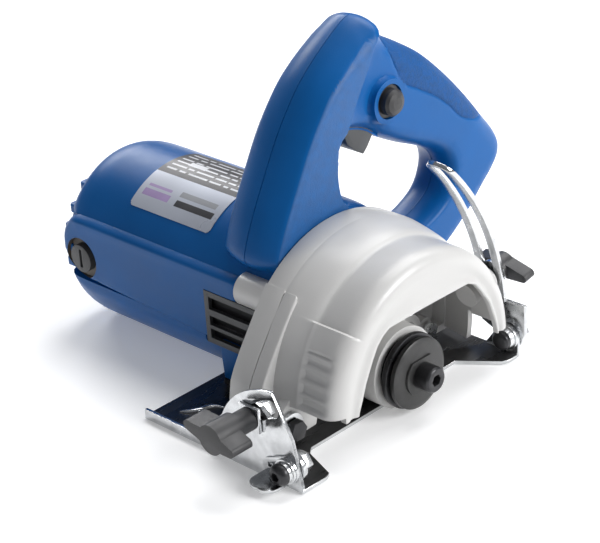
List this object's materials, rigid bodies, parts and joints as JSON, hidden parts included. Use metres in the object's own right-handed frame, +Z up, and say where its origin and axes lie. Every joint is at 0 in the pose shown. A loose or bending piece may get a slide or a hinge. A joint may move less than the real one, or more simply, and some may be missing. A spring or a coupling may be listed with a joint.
{
  "type": "hand-held stone and tile saw",
  "caption": "Hand-held trim saw for stone and tile with a tilting steel base, depth guide, geared motor, blade case and loop handle; no blade fitted.",
  "frame": {"origin": "on the sole, straight below the spindle line, in the joint plane between the blade case and the gear housing", "axes": "+X the way the saw is pushed, +Y towards the blade side along the spindle, +Z up from the sole"},
  "size_m": [0.2484, 0.2167, 0.1723],
  "materials": {
    "base_steel": "polished zinc-plated sheet",
    "zinc": "bright zinc plate",
    "dark_steel": "black oxide",
    "flange_steel": "satin grey",
    "bright_steel": "ground",
    "black_plastic": "moulded, slight sheen",
    "grey_plastic": "moulded, satin",
    "blue_plastic": "moulded, satin with fine texture",
    "grey_paint": "satin light grey over die casting",
    "label": "printed foil",
    "rubber": "matt",
    "brass": "satin",
    "copper": "enamelled wire",
    "carbon": "matt",
    "laminations": "stacked sheet"
  },
  "bodies": {
    "base": {"base_plate": "base_steel", "sight_guide": "base_steel", "pivot_bolts": "dark_steel", "pivot_washers": "zinc", "pivot_nuts": "zinc"},
    "tilt_frame": {"front_bracket": "base_steel", "clamp_nut": "zinc", "clamp_washer": "zinc", "depth_guide": "base_steel"},
    "front_wing_bolt": {"front_wing_knob": "black_plastic", "front_wing_stud": "dark_steel"},
    "saw": {"motor_housing": "blue_plastic", "vent_grille": "grey_plastic", "rating_label": "label", "rest_foot": "rubber", "brush_caps": "grey_plastic", "brush_holders": "brass", "carbon_brushes": "carbon", "brush_springs": "bright_steel", "stator_core": "laminations", "field_coils": "copper", "motor_bearings": "bright_steel", "gear_housing": "grey_paint", "motor_screws": "zinc", "bearing_box": "grey_paint", "cover_screws": "zinc", "spindle_bearings": "bright_steel", "blade_case": "grey_paint", "case_screws": "zinc", "depth_pivot_bolt": "dark_steel", "depth_stud": "dark_steel", "depth_washer": "zinc", "handle_left": "blue_plastic", "handle_right": "blue_plastic", "handle_screws": "zinc", "switch_body": "black_plastic", "trigger_pin": "zinc", "cord_gland": "rubber"},
    "rear_wing_nut": {"rear_wing_knob": "black_plastic", "rear_wing_insert": "brass"},
    "armature": {"armature_shaft": "bright_steel", "armature_core": "laminations", "armature_windings": "copper", "commutator": "copper", "cooling_fan": "black_plastic"},
    "spindle": {"spindle_shaft": "bright_steel", "spindle_gear": "bright_steel", "inner_flange": "dark_steel", "outer_flange": "flange_steel", "clamp_bolt": "dark_steel"},
    "trigger": {"trigger": "grey_plastic"},
    "lock_button": {"lock_button": "black_plastic"}
  },
  "joints": [
    {"name": "bevel", "type": "hinge", "parent": "base", "child": "tilt_frame", "pos_m": [0, 0.036, 0.01], "axis": [-1, 0, 0], "range_deg": [0, 30]},
    {"name": "front_wing_turn", "type": "hinge", "parent": "tilt_frame", "child": "front_wing_bolt", "pos_m": [0, 0.0147, 0.0293], "axis": [1, 0, 0], "range_deg": [0, 180]},
    {"name": "depth", "type": "hinge", "parent": "tilt_frame", "child": "saw", "pos_m": [0.066, 0, 0.0155], "axis": [0, 1, 0], "range_deg": [0, 32]},
    {"name": "rear_wing_turn", "type": "hinge", "parent": "saw", "child": "rear_wing_nut", "pos_m": [-0.07244, 0.0252, 0.04116], "axis": [-0.9833, 0, 0.1822], "range_deg": [0, 180]},
    {"name": "armature_spin", "type": "hinge", "parent": "saw", "child": "armature", "pos_m": [0, 0, 0.042], "axis": [0, 1, 0], "continuous": true},
    {"name": "spindle_spin", "type": "hinge", "parent": "saw", "child": "spindle", "pos_m": [0, 0, 0.0208], "axis": [0, 1, 0], "continuous": true},
    {"name": "trigger_pull", "type": "hinge", "parent": "saw", "child": "trigger", "pos_m": [-0.019, 0, 0.126], "axis": [0, 1, 0], "range_deg": [0, 8], "stiffness_Nm_per_rad": 0.8, "springref_deg": -8.59},
    {"name": "lock_push", "type": "slide", "parent": "saw", "child": "lock_button", "axis": [0, -1, 0], "range_m": [0, 0.0025], "stiffness_N_per_m": 600, "springref_m": -0.002}
  ],
  "couplings": [
    {"joint": "spindle_spin", "follows": "armature_spin", "ratio": -0.44}
  ]
}
